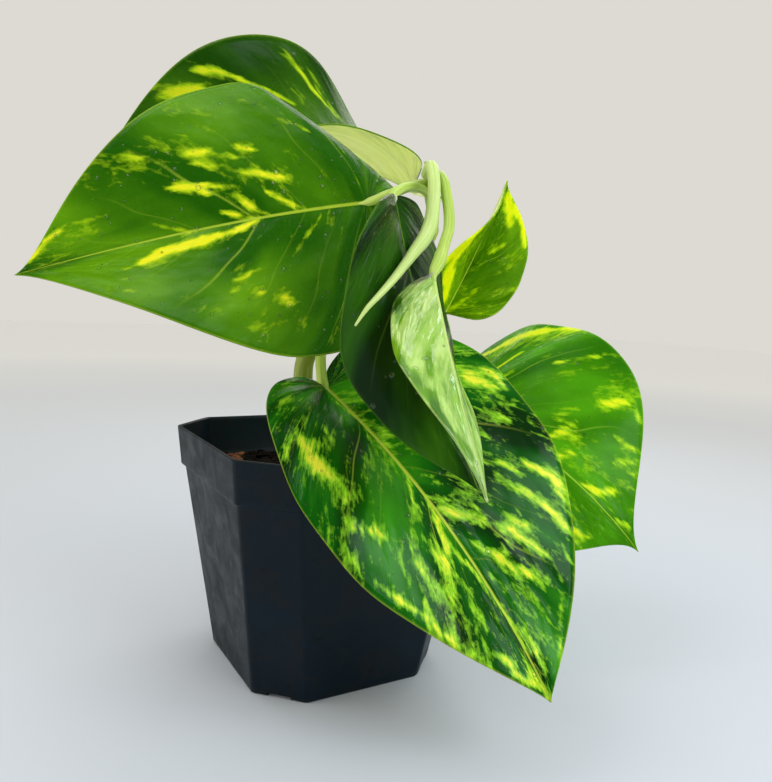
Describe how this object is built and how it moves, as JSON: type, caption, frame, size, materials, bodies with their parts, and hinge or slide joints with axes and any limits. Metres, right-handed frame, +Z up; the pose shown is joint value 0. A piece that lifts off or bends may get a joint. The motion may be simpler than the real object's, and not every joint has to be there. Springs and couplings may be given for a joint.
{
  "type": "potted house plant",
  "caption": "Trailing house plant with large heart-shaped variegated leaves on a short thick vine, in a square chamfered nursery pot filled with soil and bark.",
  "frame": {"origin": "middle of the pot's foot, on the surface that it stands on", "axes": "+Z up; +X and +Y along the flats of the square pot; the pictured side faces about -Y and is turned 30.5 degrees towards -X"},
  "size_m": [0.2306, 0.1964, 0.2496],
  "materials": {
    "pot": "near-black moulded plastic, slightly satin, with specks of dried soil",
    "soil": "dark crumbly potting soil with orange-brown bark chips",
    "vine": "smooth fleshy yellow-green stem with paler nodes",
    "rolled_leaf": "smooth pale green",
    "young_leaf": "glossy pale green with faint stripes",
    "leaf": "glossy green with yellow and cream flecks along the veins"
  },
  "bodies": {
    "root": {"pot": "pot", "soil": "soil", "vine": "vine", "leaf_5_rolled": "rolled_leaf", "leaf_4": "young_leaf", "leaf_1": "leaf", "leaf_2": "leaf", "leaf_3": "leaf", "leaf_6": "leaf", "leaf_7": "leaf", "leaf_8": "leaf"}
  },
  "joints": []
}
